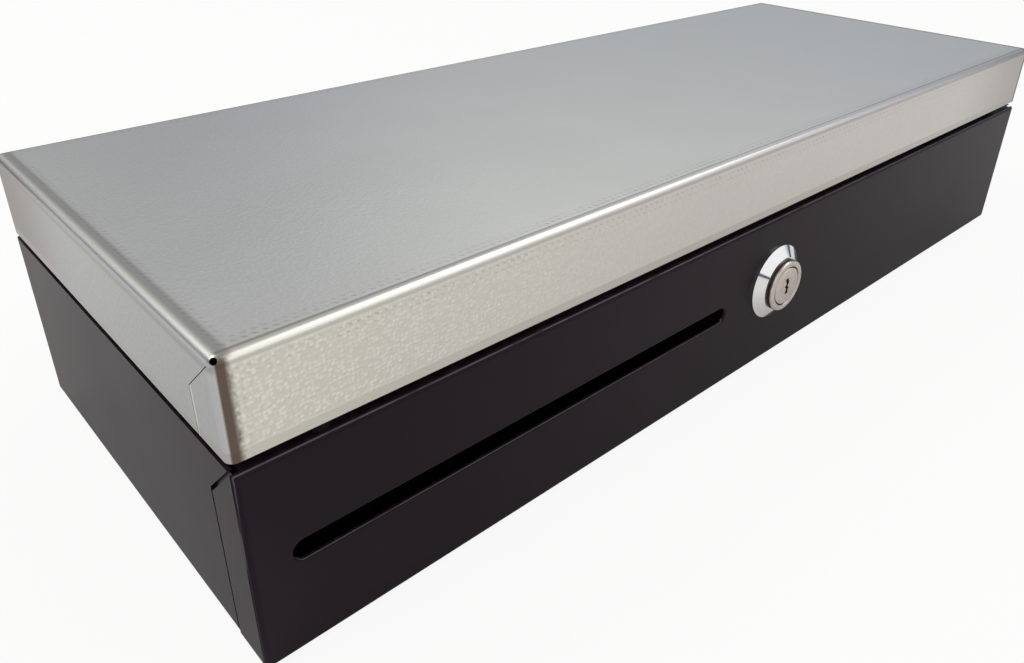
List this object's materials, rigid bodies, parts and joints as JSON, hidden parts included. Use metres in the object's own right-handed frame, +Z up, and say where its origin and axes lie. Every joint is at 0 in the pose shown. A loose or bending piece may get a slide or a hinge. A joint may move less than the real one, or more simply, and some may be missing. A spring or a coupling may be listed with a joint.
{
  "type": "vertical cash drawer",
  "caption": "Long low steel cash box with a hinged stainless lid on top, a cam lock and a media slot in its black front, and coin cups and upright note wells inside",
  "frame": {"origin": "middle of the whole outline, with the lock's head in front, on the plane the feet stand on", "axes": "X runs along the front to the right as seen from the front, +Y points to the rear, +Z up"},
  "size_m": [0.46, 0.1762, 0.1],
  "materials": {
    "black_coat": "semi-gloss black powder coat",
    "lid_steel": "fine embossed satin stainless steel",
    "plated_steel": "zinc plated",
    "pin_steel": "turned steel",
    "spring_steel": "spring wire",
    "chrome_ring": "bright chrome",
    "nickel": "satin nickel",
    "coil_tape": "coil tape",
    "black_plastic": "moulded",
    "button_plastic": "moulded",
    "board_green": "solder resist",
    "tray_plastic": "fine grain",
    "cup_plastic": "fine grain",
    "rubber": "matt"
  },
  "bodies": {
    "base": {"base_tub": "black_coat", "board_posts": "plated_steel", "board_screws": "plated_steel", "bracket_nuts": "plated_steel", "channel_cover": "black_coat", "coin_tray": "tray_plastic", "front_panel": "black_coat", "hinge_bracket_left": "plated_steel", "hinge_bracket_right": "plated_steel", "hinge_pin_left": "pin_steel", "hinge_pin_right": "pin_steel", "hinge_spring_left": "spring_steel", "hinge_spring_right": "spring_steel", "latch_bracket": "plated_steel", "latch_clip": "pin_steel", "latch_pivot": "pin_steel", "latch_spring": "spring_steel", "lead_socket": "black_plastic", "lid_bumpers": "rubber", "lid_switch": "black_plastic", "lock_bezel": "chrome_ring", "lock_body": "nickel", "lock_nut": "plated_steel", "note_tray": "tray_plastic", "rubber_foot_front_left": "rubber", "rubber_foot_front_right": "rubber", "rubber_foot_rear_left": "rubber", "rubber_foot_rear_right": "rubber", "socket_board": "board_green", "solenoid_coil": "coil_tape", "solenoid_frame": "plated_steel", "solenoid_screws": "plated_steel", "switch_screws": "plated_steel"},
    "lid": {"lid_shell": "lid_steel", "lid_stiffener": "plated_steel", "striker_plate": "plated_steel", "lid_bracket_left": "plated_steel", "lid_bracket_right": "plated_steel"},
    "key": {"lock_plug": "nickel", "lock_cam": "plated_steel", "cam_screw": "plated_steel"},
    "latch": {"latch_hook": "plated_steel", "link_pin": "pin_steel"},
    "plunger": {"solenoid_plunger": "pin_steel"},
    "button": {"switch_button": "button_plastic"},
    "coin_cup_1": {"coin_cup_1": "cup_plastic"},
    "coin_cup_2": {"coin_cup_2": "cup_plastic"},
    "coin_cup_3": {"coin_cup_3": "cup_plastic"},
    "coin_cup_4": {"coin_cup_4": "cup_plastic"},
    "coin_cup_5": {"coin_cup_5": "cup_plastic"},
    "coin_cup_6": {"coin_cup_6": "cup_plastic"},
    "coin_cup_7": {"coin_cup_7": "cup_plastic"},
    "coin_cup_8": {"coin_cup_8": "cup_plastic"}
  },
  "joints": [
    {"name": "lid_hinge", "type": "hinge", "parent": "base", "child": "lid", "pos_m": [0, 0.0811, 0.082], "axis": [-1, 0, 0], "range_deg": [0, 100]},
    {"name": "key_turn", "type": "hinge", "parent": "base", "child": "key", "pos_m": [0, -0.0881, 0.0389], "axis": [0, -1, 0], "range_deg": [0, 90]},
    {"name": "latch_turn", "type": "hinge", "parent": "base", "child": "latch", "pos_m": [0.03, -0.0589, 0.036], "axis": [0, 1, 0], "range_deg": [0, 18], "deforming": ["latch_spring"]},
    {"name": "plunger_slide", "type": "slide", "parent": "base", "child": "plunger", "axis": [-1, 0, 0], "range_m": [0, 0.00438]},
    {"name": "button_press", "type": "slide", "parent": "base", "child": "button", "axis": [0, 0, -1], "range_m": [0, 0.0008], "stiffness_N_per_m": 250, "springref_m": -0.001},
    {"name": "coin_cup_1_lift", "type": "slide", "parent": "base", "child": "coin_cup_1", "axis": [0, 0, 1], "range_m": [0, 0.03]},
    {"name": "coin_cup_2_lift", "type": "slide", "parent": "base", "child": "coin_cup_2", "axis": [0, 0, 1], "range_m": [0, 0.03]},
    {"name": "coin_cup_3_lift", "type": "slide", "parent": "base", "child": "coin_cup_3", "axis": [0, 0, 1], "range_m": [0, 0.03]},
    {"name": "coin_cup_4_lift", "type": "slide", "parent": "base", "child": "coin_cup_4", "axis": [0, 0, 1], "range_m": [0, 0.03]},
    {"name": "coin_cup_5_lift", "type": "slide", "parent": "base", "child": "coin_cup_5", "axis": [0, 0, 1], "range_m": [0, 0.03]},
    {"name": "coin_cup_6_lift", "type": "slide", "parent": "base", "child": "coin_cup_6", "axis": [0, 0, 1], "range_m": [0, 0.03]},
    {"name": "coin_cup_7_lift", "type": "slide", "parent": "base", "child": "coin_cup_7", "axis": [0, 0, 1], "range_m": [0, 0.03]},
    {"name": "coin_cup_8_lift", "type": "slide", "parent": "base", "child": "coin_cup_8", "axis": [0, 0, 1], "range_m": [0, 0.03]}
  ],
  "couplings": [
    {"joint": "key_turn", "follows": "plunger_slide", "rad_per_m": 358.62},
    {"joint": "latch_turn", "follows": "plunger_slide", "rad_per_m": 71.725}
  ]
}
